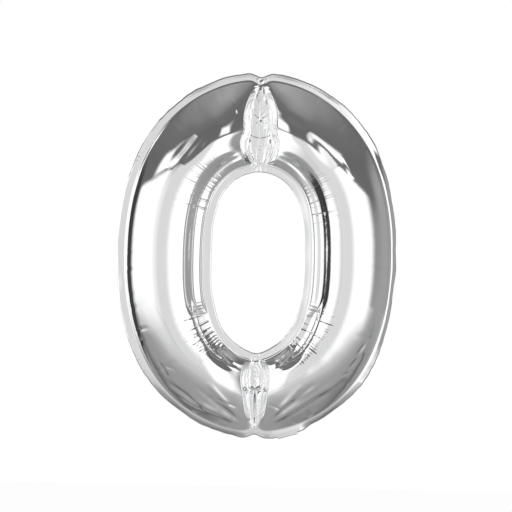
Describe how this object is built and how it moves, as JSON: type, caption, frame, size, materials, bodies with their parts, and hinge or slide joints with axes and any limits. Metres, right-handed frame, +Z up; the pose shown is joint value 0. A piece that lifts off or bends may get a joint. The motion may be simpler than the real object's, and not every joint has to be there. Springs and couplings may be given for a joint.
{
  "type": "foil number balloon",
  "caption": "Inflated silver foil balloon in the shape of a zero: welded front and back films, pinched at top and bottom by cross welds, with a folding filling neck and flap valve.",
  "frame": {"origin": "the hang point: the outer edge of the seam flange in the middle of the notch at the top, midway between the films", "axes": "+Z up, -Y out of the front film, +X to the right of someone looking at the front"},
  "size_m": [0.664, 0.1436, 0.8601],
  "materials": {
    "silver_foil": "polished",
    "valve_film": "gloss"
  },
  "bodies": {
    "balloon": {"front_film": "silver_foil", "back_film": "silver_foil"},
    "tail": {"tail_front_ply": "silver_foil", "tail_back_ply": "silver_foil"},
    "valve_front": {"valve_front_ply": "valve_film"},
    "valve_back": {"valve_back_ply": "valve_film"}
  },
  "joints": [
    {"name": "tail_fold", "type": "hinge", "parent": "balloon", "child": "tail", "pos_m": [0.07924, 0, -0.8433], "axis": [0.9612, 0, 0.2757], "range_deg": [-236, 0]},
    {"name": "valve_front_flap", "type": "hinge", "parent": "balloon", "child": "valve_front", "pos_m": [0.0729, -0.0005, -0.82119], "axis": [0.9612, 0, 0.2757], "range_deg": [0, 4], "stiffness_Nm_per_rad": 0.00002},
    {"name": "valve_back_flap", "type": "hinge", "parent": "balloon", "child": "valve_back", "pos_m": [0.0729, 0.0005, -0.82119], "axis": [0.9612, 0, 0.2757], "range_deg": [-4, 0], "stiffness_Nm_per_rad": 0.00002}
  ],
  "couplings": [
    {"joint": "valve_back_flap", "follows": "valve_front_flap", "ratio": -1}
  ]
}
